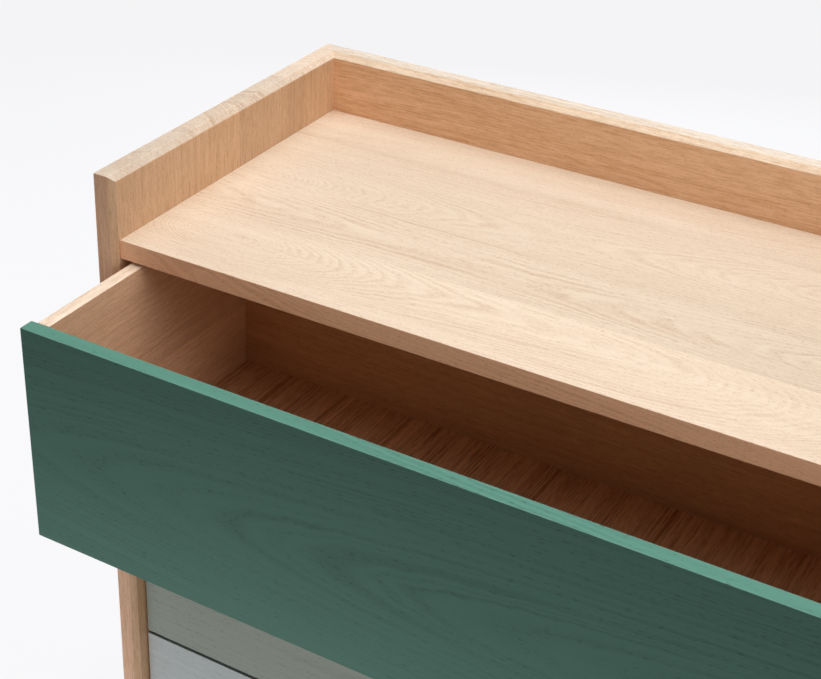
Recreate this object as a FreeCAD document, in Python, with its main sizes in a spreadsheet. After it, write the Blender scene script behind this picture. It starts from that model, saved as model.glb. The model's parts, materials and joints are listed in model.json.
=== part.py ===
import FreeCAD, Part
import os
import Sketcher

# Tall chest of wide drawers in solid oak, with a recessed top that makes a shallow tray.
# Millimetres. X runs across the chest, Y from front to back, Z up from the floor.
# The origin is on the floor, under the middle of the carcass.
# The top drawer is modelled pulled part of the way out, the others shut.
# Pieces that come in pairs are drawn for the left side and mirrored.

doc = FreeCAD.newDocument("semainier")

drawer_count = 4

driving_sizes = {
    # carcass
    "chest_width": 950,
    "chest_depth": 470,
    "side_thickness": 24,
    "chamfer_size": 6.5,  # along the inner front and inner top edges
    "tray_depth": 75,  # from the top of the sides down to the top panel
    "top_thickness": 22,
    "top_setback": 8.5,  # top panel's front edge behind the fronts of the sides
    "bottom_thickness": 22,
    "bottom_setback": 8.5,
    "rail_thickness": 24,
    "rail_lap": 28,  # from the underside of the top panel down to the lower edge of the rail
    "rail_rabbet": 10,  # how far the back panel laps the rail
    "back_thickness": 8,
    "rabbet_width": 12,  # how far the back panel laps each side
    "back_play": 0.5,
    "plinth_height": 55,
    "plinth_thickness": 18,
    "plinth_setback": 40,
    "glide_height": 3.5,
    "glide_radius": 9,
    "glide_inset": 30,
    # joints of the carcass and of the drawer boxes
    "dowel_radius": 4,
    "dowel_inset": 60,  # from a panel's edge to its first dowel
    "panel_dowel_length": 40,
    "panel_dowel_hold": 14,  # the part of a dowel that sits in the side or the rail
    "box_dowel_length": 30,
    "box_dowel_hold": 10,  # the part of a dowel that sits across the grain
    "box_dowel_inset": 30,
    "bore_play": 0.05,  # round a dowel or a screw
    "bore_end_play": 0.5,
    # drawer fronts
    "front_height": 260,
    "front_thickness": 18,
    "front_setback": 20.5,  # shut front behind the fronts of the sides
    "front_gap": 4.5,  # above and below each front
    "front_side_gap": 3,
    "front_overhang": 8,  # front past the outside of its box
    # drawer boxes
    "room_behind_box": 58.5,  # from a shut box to the back panel
    "box_side": 15,
    "box_back": 15,
    "box_rise": 22,  # underside of the box above the lower edge of its front
    "floor_rise": 36,  # underside of the floor above the lower edge of the front
    "floor_thickness": 8,
    "groove_depth": 7,
    "floor_play": 0.5,
    "top_drawer_travel": 180,  # how far the top drawer stands out
    # telescopic runners
    "runner_height": 35,
    "runner_rise": 120,  # middle of the runner above the lower edge of the front
    "runner_sheet": 1.2,
    "runner_front_gap": 2,  # behind the back of the drawer's front
    "runner_back_gap": 13,  # in front of the back of the box
    "runner_running_gap": 0.5,  # between the flanges of neighbouring members
    "runner_web_gap": 2.4,  # between the webs of the fixed and the middle member
    "runner_lip": 1.8,  # each member short of the next one's web
    "screw_inset": 40,
    "screw_radius": 1.6,
    "screw_hold": 10,
    "screw_head_radius": 3.4,
    "screw_head_height": 1.6,
    # screws of the back panel
    "back_screw_hold": 12,
    "back_screw_inset": 70,
    # push latches
    "latch_rise": 150,  # above the lower edge of the front
    "latch_wall": 2.2,
    "latch_end": 10,  # closed end of the housing
    "latch_flange_radius": 12,
    "latch_flange": 2.5,
    "plunger_radius": 4,
    "plunger_play": 0.3,  # round the plunger, and between its tip and a shut drawer
    "plunger_reach": 8.2,  # the part of the plunger outside its housing
    "plunger_room": 10,  # behind the plunger, where its spring sits
}

sheet = doc.addObject("Spreadsheet::Sheet", "Sheet")
for row, (alias, number) in enumerate(driving_sizes.items(), start=1):
    sheet.set(f"A{row}", alias)
    sheet.set(f"B{row}", str(number))
    sheet.setAlias(f"B{row}", alias)
doc.recompute()


class Size:
    """A length that knows both its value and the expression on the sheet that gives it."""

    def __init__(self, value, text):
        self.value = value
        self.text = text

    def __add__(self, other):
        other = as_size(other)
        return Size(self.value + other.value, f"({self.text} + {other.text})")

    def __sub__(self, other):
        other = as_size(other)
        return Size(self.value - other.value, f"({self.text} - {other.text})")

    def __mul__(self, factor):
        return Size(self.value * factor, f"({self.text} * {factor})")

    def __truediv__(self, divisor):
        return Size(self.value / divisor, f"({self.text} / {divisor})")

    def __neg__(self):
        return Size(-self.value, f"(-{self.text})")


def as_size(number):
    return number if isinstance(number, Size) else Size(float(number), str(number))


def size(alias):
    return Size(float(sheet.get(alias)), f"Sheet.{alias}")


def bind(item, prop, length):
    item.setExpression(prop, as_size(length).text)


def bind_base(item, prop, corner):
    for axis, length in zip("xyz", corner):
        bind(item, f"{prop}.Base.{axis}", length)


zero = as_size(0)

# Lengths that the driving sizes lead to
width = size("chest_width")
depth = size("chest_depth")
side = size("side_thickness")
chamfer = size("chamfer_size")
rail = size("rail_thickness")
back = size("back_thickness")
glide = size("glide_height")
plinth = size("plinth_height")
top_thickness = size("top_thickness")
bottom_thickness = size("bottom_thickness")
front_thickness = size("front_thickness")
front_gap = size("front_gap")
pitch = size("front_height") + front_gap
bottom_face = glide + plinth + bottom_thickness
top_underside = bottom_face + front_gap + pitch * drawer_count
height = top_underside + top_thickness + size("tray_depth")
front_face = -depth / 2
back_face = depth / 2
inner_half = width / 2 - side
inner_width = inner_half * 2
rail_height = size("tray_depth") + top_thickness + size("rail_lap")
rail_bottom = height - rail_height
back_panel_face = back_face - back
front_width = inner_width - size("front_side_gap") * 2
front_shut = front_face + size("front_setback")
box_front = front_shut + front_thickness
box_half = front_width / 2 - size("front_overhang")
box_side = size("box_side")
box_back = size("box_back")
box_length = back_panel_face - size("room_behind_box") - box_front
box_depth = box_length - box_back
box_height = size("front_height") - size("box_rise")
groove_rise = size("floor_rise") - size("box_rise")
runner_width = size("front_side_gap") + size("front_overhang")
runner_length = box_length - size("runner_front_gap") - size("runner_back_gap")
dowel_bore = size("dowel_radius") + size("bore_play")
screw_bore = size("screw_radius") + size("bore_play")


def front_bottom(level):
    """Lower edge of a front; level 1 is the top drawer."""
    return bottom_face + front_gap + pitch * (drawer_count - level)


def travel_at_rest(level):
    return size("top_drawer_travel") if level == 1 else zero


# Planes of a body by the axis they face, with the sign of their normal along it
origin_planes = {"x": ("YZ_Plane", 1), "y": ("XZ_Plane", -1), "z": ("XY_Plane", 1)}
subparts = []


def keep(item, label):
    item.Label = label
    subparts.append(item)
    return item


def new_body(name, corner):
    """An empty body whose own origin is at the given corner."""
    body = doc.addObject("PartDesign::Body", name)
    bind_base(body, "Placement", corner)
    return body


def plane_of(body, axis):
    role = origin_planes[axis][0]
    return next(item for item in body.Origin.OriginFeatures if item.Role == role)


def new_sketch(body, axis, at, name):
    """A sketch that faces along an axis, a distance from the body's origin."""
    sketch = body.newObject("Sketcher::SketchObject", name)
    sketch.AttachmentSupport = [(plane_of(body, axis), "")]
    sketch.MapMode = "FlatFace"
    at = as_size(at)
    bind(sketch, "AttachmentOffset.Base.z", at if origin_planes[axis][1] > 0 else -at)
    return sketch


def pin_point(sketch, geometry, point, place):
    """Tie a point of the sketch to its distances from the sketch's origin."""
    for kind, axis_line, length in zip(("DistanceX", "DistanceY"), (-2, -1), place):
        length = as_size(length)
        if length.text == zero.text:
            sketch.addConstraint(Sketcher.Constraint("PointOnObject", geometry, point, axis_line))
            continue
        index = sketch.addConstraint(Sketcher.Constraint(kind, -1, 1, geometry, point, length.value))
        bind(sketch, f"Constraints[{index}]", length)


def draw_outline(sketch, corners):
    """A closed outline of straight lines through the corners."""
    points = [FreeCAD.Vector(as_size(u).value, as_size(v).value, 0) for u, v in corners]
    for index, point in enumerate(points):
        sketch.addGeometry(Part.LineSegment(point, points[(index + 1) % len(points)]))
    for index, corner in enumerate(corners):
        following = (index + 1) % len(corners)
        sketch.addConstraint(Sketcher.Constraint("Coincident", index, 2, following, 1))
        pin_point(sketch, index, 1, corner)


def draw_circles(sketch, centres, radius):
    for index, (u, v) in enumerate(centres):
        middle = FreeCAD.Vector(as_size(u).value, as_size(v).value, 0)
        sketch.addGeometry(Part.Circle(middle, FreeCAD.Vector(0, 0, 1), radius.value))
        pin_point(sketch, index, 3, (u, v))
        ring = sketch.addConstraint(Sketcher.Constraint("Radius", index, radius.value))
        bind(sketch, f"Constraints[{ring}]", radius)


def pad(body, sketch, axis, length, name, forward=True):
    feature = body.newObject("PartDesign::Pad", name)
    feature.Profile = sketch
    feature.Reversed = forward != (origin_planes[axis][1] > 0)
    bind(feature, "Length", length)
    return feature


def pocket(body, sketch, axis, length, name, forward):
    """Cut from the sketch along its axis, forward or back; with no length, right through."""
    feature = body.newObject("PartDesign::Pocket", name)
    feature.Profile = sketch
    feature.Reversed = forward == (origin_planes[axis][1] > 0)
    if length is None:
        feature.Type = "ThroughAll"
    else:
        bind(feature, "Length", length)
    return feature


def block(body, kind, corner, lengths, name):
    """A rectangular block of the body, added or taken away."""
    feature = body.newObject(f"PartDesign::{kind}Box", name)
    feature.AttachmentSupport = [(plane_of(body, "z"), "")]
    feature.MapMode = "FlatFace"
    bind_base(feature, "AttachmentOffset", corner)
    for prop, length in zip(("Length", "Width", "Height"), lengths):
        bind(feature, prop, length)
    return feature


def drill(body, axis, at, centres, radius, length, name, forward):
    sketch = new_sketch(body, axis, at, f"{name}_sketch")
    draw_circles(sketch, centres, radius)
    return pocket(body, sketch, axis, length, name, forward)


def board(label, corner, lengths):
    """A plain board with its low corner at the given place."""
    body = keep(new_body(label, corner), label)
    block(body, "Additive", (zero, zero, zero), lengths, f"{label}_board")
    return body


def mirror_across(item, name):
    """The same piece on the other hand, across the middle of the chest."""
    twin = doc.addObject("Part::Mirroring", name)
    twin.Source = item
    twin.Normal = FreeCAD.Vector(1, 0, 0)
    return twin


def group(label, items):
    """Separate solids that share a node."""
    compound = keep(doc.addObject("Part::Compound", label), label)
    compound.Links = items
    return compound


def rod(name, start, axis, radius, length):
    """A round rod from its start along +X, +Y or +Z."""
    cylinder = doc.addObject("Part::Cylinder", name)
    turns = {"x": ((0, 1, 0), 90), "y": ((1, 0, 0), -90), "z": ((0, 0, 1), 0)}
    direction, angle = turns[axis]
    cylinder.Placement.Rotation = FreeCAD.Rotation(FreeCAD.Vector(*direction), angle)
    bind(cylinder, "Radius", radius)
    bind(cylinder, "Height", length)
    bind_base(cylinder, "Placement", start)
    return cylinder


def screw(name, seat, axis, sign, shank_length):
    """A flat-headed screw: its head stands on the seat and its shank goes into the work.

    The shank points along the axis, forward or back by the sign, and is as long as given.
    """
    radius = size("screw_radius")
    head_height = size("screw_head_height")
    seat = [as_size(length) for length in seat]
    shank_start = list(seat)
    head_start = list(seat)
    index = "xyz".index(axis)
    if sign > 0:
        head_start[index] = seat[index] - head_height
    else:
        shank_start[index] = seat[index] - shank_length
    shank = rod(f"{name}_shank", shank_start, axis, radius, shank_length)
    head = rod(f"{name}_head", head_start, axis, size("screw_head_radius"), head_height)
    fused = doc.addObject("Part::Fuse", name)
    fused.Base = head
    fused.Tool = shank
    return fused


# Where the joints sit, shared by both pieces of each joint

top_depth = depth - size("top_setback") - rail
bottom_depth = depth - size("bottom_setback") - back
top_front = front_face + size("top_setback")
bottom_front = front_face + size("bottom_setback")
top_dowel_level = top_underside + top_thickness / 2
bottom_dowel_level = glide + plinth + bottom_thickness / 2
panel_dowel_length = size("panel_dowel_length")
panel_hold = size("panel_dowel_hold")
panel_reach = panel_dowel_length - panel_hold
box_dowel_length = size("box_dowel_length")
box_hold = size("box_dowel_hold")
box_reach = box_dowel_length - box_hold
end_play = size("bore_end_play")


def spread(length, inset):
    """Three places along a length: one near each end, one in the middle."""
    return [inset, length / 2, length - inset]


top_dowel_places = spread(top_depth, size("dowel_inset"))
bottom_dowel_places = spread(bottom_depth, size("dowel_inset"))
rail_dowel_places = spread(inner_width, size("dowel_inset"))
box_dowel_places = [
    size("box_dowel_inset") + groove_rise,
    box_height / 2 + groove_rise / 2,
    box_height - size("box_dowel_inset"),
]
runner_start = box_front + size("runner_front_gap")
runner_screw_places = spread(runner_length, size("screw_inset"))
back_screw_places = spread(inner_width, size("back_screw_inset"))


# The carcass

def build_side():
    body = keep(new_body("side_left", (-width / 2, front_face, glide)), "side_left")
    side_height = height - glide
    plan = new_sketch(body, "z", zero, "side_plan")
    chamfered_edge = [(side - chamfer, zero), (side, chamfer)]
    draw_outline(plan, [(zero, zero), *chamfered_edge, (side, depth), (zero, depth)])
    pad(body, plan, "z", side_height, "side_board")

    edge = new_sketch(body, "y", zero, "side_top_chamfer_sketch")
    draw_outline(edge, [(side - chamfer, side_height), (side, side_height), (side, side_height - chamfer)])
    pocket(body, edge, "y", None, "side_top_chamfer", forward=True)

    mitre = new_sketch(body, "z", side_height, "side_mitre_sketch")
    draw_outline(mitre, [(zero, depth), (side, depth), (side, depth - rail)])
    pocket(body, mitre, "z", rail_height, "side_mitre", forward=False)

    rabbet = size("rabbet_width")
    block(body, "Subtractive", (side - rabbet, depth - back, plinth),
          (rabbet, back, rail_bottom + size("rail_rabbet") - glide - plinth), "side_rabbet")

    reach = panel_hold + end_play
    top_centres = [(size("top_setback") + place, top_dowel_level - glide) for place in top_dowel_places]
    drill(body, "x", side, top_centres, dowel_bore, reach, "side_top_bores", forward=False)
    bottom_centres = [
        (size("bottom_setback") + place, bottom_dowel_level - glide) for place in bottom_dowel_places
    ]
    drill(body, "x", side, bottom_centres, dowel_bore, reach, "side_bottom_bores", forward=False)

    for level in range(1, drawer_count + 1):
        rise = front_bottom(level) + size("runner_rise") - glide
        centres = [(runner_start - front_face + place, rise) for place in runner_screw_places]
        drill(body, "x", side, centres, screw_bore, size("screw_hold") + end_play,
              f"side_runner_bores_{level}", forward=False)
    return body


def build_top_panel():
    body = board("top_panel", (-inner_half, top_front, top_underside),
                 (inner_width, top_depth, top_thickness))
    middle = top_thickness / 2
    side_centres = [(place, middle) for place in top_dowel_places]
    reach = panel_reach + end_play
    drill(body, "x", zero, side_centres, dowel_bore, reach, "top_left_bores", forward=True)
    drill(body, "x", inner_width, side_centres, dowel_bore, reach, "top_right_bores", forward=False)
    rail_centres = [(place, middle) for place in rail_dowel_places]
    drill(body, "y", top_depth, rail_centres, dowel_bore, reach, "top_rail_bores", forward=False)


def build_bottom_panel():
    body = board("bottom_panel", (-inner_half, bottom_front, glide + plinth),
                 (inner_width, bottom_depth, bottom_thickness))
    centres = [(place, bottom_thickness / 2) for place in bottom_dowel_places]
    reach = panel_reach + end_play
    drill(body, "x", zero, centres, dowel_bore, reach, "bottom_left_bores", forward=True)
    drill(body, "x", inner_width, centres, dowel_bore, reach, "bottom_right_bores", forward=False)
    screw_centres = [(place, bottom_thickness / 2) for place in back_screw_places]
    drill(body, "y", bottom_depth, screw_centres, screw_bore, size("back_screw_hold") + end_play,
          "bottom_screw_bores", forward=False)


def build_back_rail():
    body = keep(new_body("back_rail", (-width / 2, back_face - rail, rail_bottom)), "back_rail")
    plan = new_sketch(body, "z", zero, "rail_plan")
    draw_outline(plan, [(side, zero), (width - side, zero), (width, rail), (zero, rail)])
    pad(body, plan, "z", rail_height, "rail_board")

    edge = new_sketch(body, "x", zero, "rail_chamfer_sketch")
    draw_outline(edge, [(zero, rail_height - chamfer), (chamfer, rail_height), (zero, rail_height)])
    pocket(body, edge, "x", None, "rail_chamfer", forward=True)

    lap = size("rabbet_width")
    block(body, "Subtractive", (side - lap, rail - back, zero),
          (inner_width + lap * 2, back, size("rail_rabbet")), "rail_rabbet")
    dowel_centres = [(side + place, top_dowel_level - rail_bottom) for place in rail_dowel_places]
    drill(body, "y", zero, dowel_centres, dowel_bore, panel_hold + end_play, "rail_bores", forward=True)
    screw_centres = [(side + place, size("rail_rabbet") / 2) for place in back_screw_places]
    drill(body, "y", rail - back, screw_centres, screw_bore, size("back_screw_hold") + end_play,
          "rail_screw_bores", forward=False)


def build_back_panel():
    half = inner_half + size("rabbet_width") - size("back_play")
    base = glide + plinth
    tall = rail_bottom + size("rail_rabbet") - size("back_play") - base
    body = board("back_panel", (-half, back_panel_face, base), (half * 2, back, tall))
    first = half - inner_half
    rises = (bottom_thickness / 2, rail_bottom + size("rail_rabbet") / 2 - base)
    centres = [(first + place, rise) for place in back_screw_places for rise in rises]
    drill(body, "y", zero, centres, screw_bore, back, "back_panel_bores", forward=True)
    head_bore = size("screw_head_radius") + size("bore_play")
    drill(body, "y", back, centres, head_bore, size("screw_head_height"), "back_panel_sinks", forward=False)


def build_plinth():
    thickness = size("plinth_thickness")
    front_y = front_face + size("plinth_setback")
    back_y = back_panel_face - thickness
    board("plinth_front", (-inner_half, front_y, glide), (inner_width, thickness, plinth))
    board("plinth_back", (-inner_half, back_y, glide), (inner_width, thickness, plinth))
    brace_y = front_y + thickness
    board("plinth_brace", (-thickness / 2, brace_y, glide), (thickness, back_y - brace_y, plinth))


def build_glides():
    across = width / 2 - side / 2
    along = depth / 2 - size("glide_inset")
    places = [(zero, zero)] + [(x, y) for x in (-across, across) for y in (-along, along)]
    glides = [
        rod(f"glide_{index}", (x, y, zero), "z", size("glide_radius"), glide)
        for index, (x, y) in enumerate(places, start=1)
    ]
    group("foot_glides", glides)


def build_carcass_dowels():
    """Dowels lie across each joint, part of each in either board."""
    radius = size("dowel_radius")
    rows = (
        ("top_dowel", top_front, top_dowel_places, top_dowel_level),
        ("bottom_dowel", bottom_front, bottom_dowel_places, bottom_dowel_level),
    )
    dowels = []
    for row_name, row_front, places, level in rows:
        for index, place in enumerate(places, start=1):
            start = (-inner_half - panel_hold, row_front + place, level)
            dowel = rod(f"{row_name}_{index}", start, "x", radius, panel_dowel_length)
            dowels += [dowel, mirror_across(dowel, f"{dowel.Name}_right")]
    rail_start = back_face - rail - panel_reach
    for index, place in enumerate(rail_dowel_places, start=1):
        start = (place - inner_half, rail_start, top_dowel_level)
        dowels.append(rod(f"rail_dowel_{index}", start, "y", radius, panel_dowel_length))
    group("carcass_dowels", dowels)


def build_back_panel_screws():
    """Their heads are sunk in the back panel, and they bite into the rail and the bottom."""
    rail_level = rail_bottom + size("rail_rabbet") / 2
    shank = back - size("screw_head_height") + size("back_screw_hold")
    seat_y = back_face - size("screw_head_height")
    screws = []
    for level_name, level in (("upper", rail_level), ("lower", bottom_dowel_level)):
        for index, place in enumerate(back_screw_places, start=1):
            seat = (place - inner_half, seat_y, level)
            screws.append(screw(f"back_screw_{level_name}_{index}", seat, "y", -1, shank))
    group("back_panel_screws", screws)


# The runners: three nested channels on each side of a drawer

def channel(name, corner, reach, tall, web_is_left):
    """A channel of folded sheet, along the drawer: a web with two flanges that reach sideways."""
    gauge = size("runner_sheet")
    body = new_body(name, corner)
    section = new_sketch(body, "y", zero, f"{name}_section")
    web, lips = (gauge, reach) if web_is_left else (reach - gauge, zero)
    web_back = zero if web_is_left else reach
    draw_outline(section, [
        (web_back, zero), (lips, zero), (lips, gauge), (web, gauge),
        (web, tall - gauge), (lips, tall - gauge), (lips, tall), (web_back, tall),
    ])
    pad(body, section, "y", runner_length, f"{name}_pad")
    return body


def build_runner(level):
    """The fixed, the middle and the moving member, each inside the one before."""
    gauge = size("runner_sheet")
    lip = size("runner_lip")
    step = gauge + size("runner_running_gap")
    travel = travel_at_rest(level)
    base = front_bottom(level) + size("runner_rise") - size("runner_height") / 2
    tall = size("runner_height")
    middle_x = gauge + size("runner_web_gap")
    moving_x = middle_x + lip
    moving_tall = tall - step * 4

    fixed = channel(f"fixed_member_{level}", (-inner_half, runner_start, base),
                    runner_width - lip, tall, web_is_left=True)
    middle = channel(f"middle_member_{level}",
                     (middle_x - inner_half, runner_start - travel / 2, base + step),
                     runner_width - lip - middle_x, tall - step * 2, web_is_left=True)
    moving = channel(f"moving_member_{level}",
                     (moving_x - inner_half, runner_start - travel, base + step * 2),
                     runner_width - moving_x, moving_tall, web_is_left=False)

    moving_web = runner_width - moving_x - gauge
    for body, web, middle_height in ((fixed, zero, tall / 2), (moving, moving_web, moving_tall / 2)):
        centres = [(place, middle_height) for place in runner_screw_places]
        drill(body, "x", web, centres, screw_bore, gauge, f"{body.Name}_bores", forward=True)
    for body, label in ((fixed, "carcass_runner"), (middle, "middle_runner"), (moving, "drawer_runner")):
        group(f"{label}_{level}", [body, mirror_across(body, f"{body.Name}_right")])


def runner_screws(level, prefix, web_x, sign, shift):
    """The screws of one runner member and of its twin on the other side."""
    rise = front_bottom(level) + size("runner_rise")
    shank = size("runner_sheet") + size("screw_hold")
    screws = []
    for index, place in enumerate(runner_screw_places, start=1):
        seat = (web_x, runner_start + place - shift, rise)
        left = screw(f"{prefix}_{level}_{index}", seat, "x", sign, shank)
        screws += [left, mirror_across(left, f"{left.Name}_right")]
    return screws


def build_carcass_runner_screws():
    screws = []
    for level in range(1, drawer_count + 1):
        screws += runner_screws(level, "carcass_screw", size("runner_sheet") - inner_half, -1, zero)
    group("carcass_runner_screws", screws)


# The drawers

def build_drawer(level):
    travel = travel_at_rest(level)
    base = front_bottom(level)
    front_y = front_shut - travel
    box_y = box_front - travel
    box_z = base + size("box_rise")
    groove = size("groove_depth")
    floor_thickness = size("floor_thickness")
    box_inner_half = box_half - box_side
    box_inner_width = box_inner_half * 2
    hold = box_hold + end_play
    reach = box_reach + end_play
    name = f"drawer_{level}"

    front = board(f"{name}_front", (-front_width / 2, front_y, base),
                  (front_width, front_thickness, size("front_height")))
    groove_x = front_width / 2 - box_inner_half - groove
    block(front, "Subtractive", (groove_x, front_thickness - groove, size("floor_rise")),
          (box_inner_width + groove * 2, groove, floor_thickness), f"{name}_front_groove")
    across = front_width / 2 - box_half + box_side / 2
    front_centres = [
        (x, size("box_rise") + place) for x in (across, front_width - across) for place in box_dowel_places
    ]
    drill(front, "y", front_thickness, front_centres, dowel_bore, hold, f"{name}_front_bores", forward=False)

    left = board(f"{name}_side_left", (-box_half, box_y, box_z), (box_side, box_length, box_height))
    block(left, "Subtractive", (box_side - groove, zero, groove_rise),
          (groove, box_length, floor_thickness), f"{name}_side_groove")
    end_centres = [(box_side / 2, place) for place in box_dowel_places]
    drill(left, "y", zero, end_centres, dowel_bore, reach, f"{name}_side_end_bores", forward=True)
    back_centres = [(box_length - box_back / 2, place) for place in box_dowel_places]
    drill(left, "x", box_side, back_centres, dowel_bore, hold, f"{name}_side_back_bores", forward=False)
    rise = size("runner_rise") - size("box_rise")
    runner_centres = [(size("runner_front_gap") + place, rise) for place in runner_screw_places]
    drill(left, "x", zero, runner_centres, screw_bore, size("screw_hold") + end_play,
          f"{name}_side_runner_bores", forward=True)
    keep(mirror_across(left, f"{name}_side_right"), f"{name}_side_right")

    back_board = board(f"{name}_back", (-box_inner_half, box_y + box_depth, box_z),
                       (box_inner_width, box_back, box_height))
    block(back_board, "Subtractive", (zero, zero, groove_rise),
          (box_inner_width, groove, floor_thickness), f"{name}_back_groove")
    for hand, face, forward in (("left", zero, True), ("right", box_inner_width, False)):
        centres = [(box_back / 2, place) for place in box_dowel_places]
        drill(back_board, "x", face, centres, dowel_bore, reach, f"{name}_back_{hand}_bores", forward)

    lap = groove - size("floor_play")
    board(f"{name}_floor", (-box_inner_half - lap, box_y - lap, base + size("floor_rise")),
          (box_inner_width + lap * 2, box_depth + lap * 2, floor_thickness))

    build_drawer_dowels(level, box_y, box_z)
    moving_web = runner_width - size("runner_sheet") - inner_half
    group(f"{name}_runner_screws", runner_screws(level, "drawer_screw", moving_web, 1, travel))


def build_drawer_dowels(level, box_y, box_z):
    starts = (
        ("front_dowel", "y", box_side / 2 - box_half, box_y - box_hold),
        ("back_dowel", "x", box_side - box_half - box_hold, box_y + box_length - box_back / 2),
    )
    dowels = []
    for index, place in enumerate(box_dowel_places, start=1):
        for kind, axis, start_x, start_y in starts:
            dowel = rod(f"{kind}_{level}_{index}", (start_x, start_y, box_z + place),
                        axis, size("dowel_radius"), box_dowel_length)
            dowels += [dowel, mirror_across(dowel, f"{dowel.Name}_right")]
    group(f"drawer_{level}_dowels", dowels)


# The push latches: a round housing on the back panel, and a sprung plunger that meets the drawer

def turned(label, corner, outline):
    """A body turned about the Y axis through its corner; the outline is radius and distance."""
    body = new_body(label, corner)
    section = new_sketch(body, "z", zero, f"{label}_section")
    draw_outline(section, outline)
    feature = body.newObject("PartDesign::Revolution", f"{label}_turning")
    feature.Profile = section
    feature.ReferenceAxis = (section, ["V_Axis"])
    feature.Angle = 360
    return body


def build_latches():
    shut_box_back = box_front + box_length
    reach = size("plunger_reach")
    play = size("plunger_play")
    radius = size("plunger_radius")
    bore = radius + play
    outside = bore + size("latch_wall")
    flange_outside = size("latch_flange_radius")
    mouth = shut_box_back + play + reach
    housing_length = back_panel_face - mouth
    bore_depth = housing_length - size("latch_end")
    flange_start = housing_length - size("latch_flange")
    housing_outline = [
        (bore, zero), (outside, zero), (outside, flange_start), (flange_outside, flange_start),
        (flange_outside, housing_length), (zero, housing_length), (zero, bore_depth), (bore, bore_depth),
    ]
    plunger_length = reach + bore_depth - size("plunger_room")
    plunger_outline = [(zero, zero), (radius, zero), (radius, plunger_length), (zero, plunger_length)]
    housings = []
    for level in range(1, drawer_count + 1):
        rise = front_bottom(level) + size("latch_rise")
        housings.append(turned(f"housing_{level}", (zero, mouth, rise), housing_outline))
        plunger = turned(f"latch_plunger_{level}", (zero, mouth - reach, rise), plunger_outline)
        keep(plunger, f"latch_plunger_{level}")
    group("latch_housings", housings)


left_side = build_side()
keep(mirror_across(left_side, "side_right"), "side_right")
build_top_panel()
build_bottom_panel()
build_back_rail()
build_back_panel()
build_plinth()
build_glides()
build_carcass_dowels()
build_back_panel_screws()
build_carcass_runner_screws()
for drawer_level in range(1, drawer_count + 1):
    build_runner(drawer_level)
    build_drawer(drawer_level)
build_latches()

doc.recompute()

for item in doc.Objects:
    if "Invalid" in item.State or "Error" in item.State:
        raise RuntimeError(f"{item.Label} failed: {item.State}")
for item in subparts:
    if item.Shape.isNull() or not item.Shape.isValid():
        raise RuntimeError(f"{item.Label} has no valid shape")

os.makedirs("parts", exist_ok=True)
for item in subparts:
    item.Shape.exportStep(f"parts/{item.Label}.step")
    print(f"{item.Label}: {len(item.Shape.Solids)} solid(s), {item.Shape.Volume / 1000:.1f} cm3")
print(len(subparts), "nodes, chest height", height.value)
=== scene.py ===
# Tall oak chest with a sunk top and four wide drawers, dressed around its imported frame.
# Metres. X runs across the chest, Y from front to back, Z up from the floor.

import json
import math
import random

import bmesh
import bpy
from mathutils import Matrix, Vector

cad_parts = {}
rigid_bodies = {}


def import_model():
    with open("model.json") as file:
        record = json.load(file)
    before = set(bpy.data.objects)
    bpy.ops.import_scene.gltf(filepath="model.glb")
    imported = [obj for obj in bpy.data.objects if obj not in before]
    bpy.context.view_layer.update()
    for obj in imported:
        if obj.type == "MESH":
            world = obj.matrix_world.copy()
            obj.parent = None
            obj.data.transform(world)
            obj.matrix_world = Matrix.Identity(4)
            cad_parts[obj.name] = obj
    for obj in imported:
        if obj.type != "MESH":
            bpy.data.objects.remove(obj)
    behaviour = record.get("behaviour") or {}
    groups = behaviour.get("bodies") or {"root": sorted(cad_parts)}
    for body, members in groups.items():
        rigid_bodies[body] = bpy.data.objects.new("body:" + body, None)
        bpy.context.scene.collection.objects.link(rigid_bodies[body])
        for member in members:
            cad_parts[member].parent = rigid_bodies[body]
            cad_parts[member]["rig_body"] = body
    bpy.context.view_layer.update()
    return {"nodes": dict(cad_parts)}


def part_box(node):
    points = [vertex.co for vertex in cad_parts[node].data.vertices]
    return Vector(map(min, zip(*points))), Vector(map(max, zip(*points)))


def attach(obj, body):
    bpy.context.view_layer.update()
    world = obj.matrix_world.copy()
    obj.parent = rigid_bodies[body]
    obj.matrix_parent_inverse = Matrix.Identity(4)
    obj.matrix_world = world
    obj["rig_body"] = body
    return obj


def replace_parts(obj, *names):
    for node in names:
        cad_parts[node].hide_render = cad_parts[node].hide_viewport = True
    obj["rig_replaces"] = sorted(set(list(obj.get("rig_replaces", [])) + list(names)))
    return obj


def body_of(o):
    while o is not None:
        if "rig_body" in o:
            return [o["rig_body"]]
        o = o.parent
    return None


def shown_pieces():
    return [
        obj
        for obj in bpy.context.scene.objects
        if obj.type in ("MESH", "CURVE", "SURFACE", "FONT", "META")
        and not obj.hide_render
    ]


print("frame: loading")
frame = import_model()
nodes = frame["nodes"]
drawerLevels = range(1, 5)


# node helpers

def plug(tree, socket, value):
    if isinstance(value, bpy.types.NodeSocket):
        tree.links.new(value, socket)
    else:
        socket.default_value = value


def addNode(tree, kind, sockets=None, **settings):
    node = tree.nodes.new(kind if kind.startswith("Node") else "ShaderNode" + kind)
    for name, value in settings.items():
        setattr(node, name, value)
    for key, value in (sockets or {}).items():
        plug(tree, node.inputs[key], value)
    return node


def maths(tree, operation, *values):
    node = addNode(tree, "Math", operation=operation)
    for socket, value in zip(node.inputs, values):
        plug(tree, socket, value)
    return node.outputs[0]


def vectorMaths(tree, operation, first, second):
    return addNode(tree, "VectorMath", {0: first, 1: second}, operation=operation).outputs[0]


def axes(tree, vector):
    return addNode(tree, "SeparateXYZ", {0: vector}).outputs


def attribute(tree, name, output="Fac"):
    return addNode(tree, "Attribute", attribute_name=name).outputs[output]


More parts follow.
